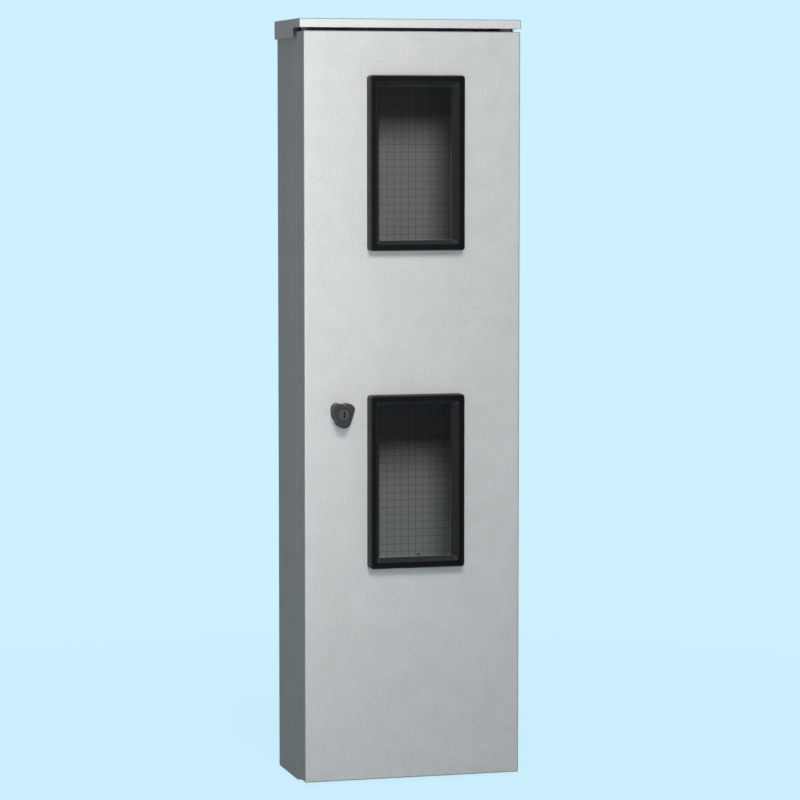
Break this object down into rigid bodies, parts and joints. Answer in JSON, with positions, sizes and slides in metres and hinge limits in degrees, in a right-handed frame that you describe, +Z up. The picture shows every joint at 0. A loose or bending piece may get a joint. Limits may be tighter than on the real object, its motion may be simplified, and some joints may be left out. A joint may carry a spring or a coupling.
{
  "type": "electric meter box",
  "caption": "Tall wall-mounted sheet-metal meter box: side-hung door with glazed meter windows and a lobed latch knob, roof cap, meter boards, breaker rail and earth bar.",
  "frame": {"origin": "centre of the four wall-fixing holes, on the back face", "axes": "+X to the right seen from the front, +Y out of the back towards the wall, +Z up; the door faces -Y"},
  "size_m": [0.304, 0.1753, 1],
  "materials": {
    "case_sheet": "fine matt brushed",
    "door_sheet": "fine matt brushed",
    "board_paint": "matt grey paint",
    "zinc_plate": "bright zinc plate",
    "brass": "turned",
    "hinge_steel": "satin",
    "black_rubber": "matt",
    "black_moulding": "satin moulded",
    "window_glass": "clear wired glass",
    "knob_moulding": "satin moulded",
    "lock_metal": "worn plated"
  },
  "bodies": {
    "cabinet": {"back_and_sides": "case_sheet", "board_nuts": "zinc_plate", "board_studs": "zinc_plate", "bottom_plate": "case_sheet", "breaker_rail": "zinc_plate", "cable_grommet_left": "black_rubber", "cable_grommet_right": "black_rubber", "earth_bar": "brass", "earth_bar_posts": "zinc_plate", "earth_bar_screws": "brass", "hinge_1_cabinet_leaf": "hinge_steel", "hinge_1_pin": "hinge_steel", "hinge_2_cabinet_leaf": "hinge_steel", "hinge_2_pin": "hinge_steel", "hinge_3_cabinet_leaf": "hinge_steel", "hinge_3_pin": "hinge_steel", "latch_keeper": "case_sheet", "lower_meter_board": "board_paint", "rail_bracket_left": "zinc_plate", "rail_bracket_right": "zinc_plate", "rail_screws": "zinc_plate", "roof_cap": "case_sheet", "top_plate": "case_sheet", "upper_meter_board": "board_paint"},
    "door": {"door_panel": "door_sheet", "door_seal": "black_rubber", "knob_rose": "knob_moulding", "rose_washer": "black_rubber", "rose_locknut": "zinc_plate", "hinge_1_door_leaf": "hinge_steel", "hinge_2_door_leaf": "hinge_steel", "hinge_3_door_leaf": "hinge_steel", "upper_window_frame": "black_moulding", "upper_window_glass": "window_glass", "upper_glass_seal": "black_rubber", "upper_clamp_frame": "zinc_plate", "upper_clamp_screws": "zinc_plate", "lower_window_frame": "black_moulding", "lower_window_glass": "window_glass", "lower_glass_seal": "black_rubber", "lower_clamp_frame": "zinc_plate", "lower_clamp_screws": "zinc_plate"},
    "knob": {"lobed_knob": "knob_moulding", "knob_spindle": "zinc_plate", "latch_cam": "zinc_plate", "cam_washer": "zinc_plate", "cam_nut": "zinc_plate"},
    "lock": {"lock_plug": "lock_metal"}
  },
  "joints": [
    {"name": "door_hinge", "type": "hinge", "parent": "cabinet", "child": "door", "pos_m": [0.1505, -0.109, -0.0063], "axis": [0, 0, 1], "range_deg": [0, 180]},
    {"name": "knob_turn", "type": "hinge", "parent": "door", "child": "knob", "pos_m": [-0.09817, -0.16, -0.0117], "axis": [0, 1, 0], "range_deg": [0, 90]},
    {"name": "lock_turn", "type": "hinge", "parent": "knob", "child": "lock", "pos_m": [-0.09817, -0.168, -0.0117], "axis": [0, 1, 0], "range_deg": [0, 90]}
  ]
}
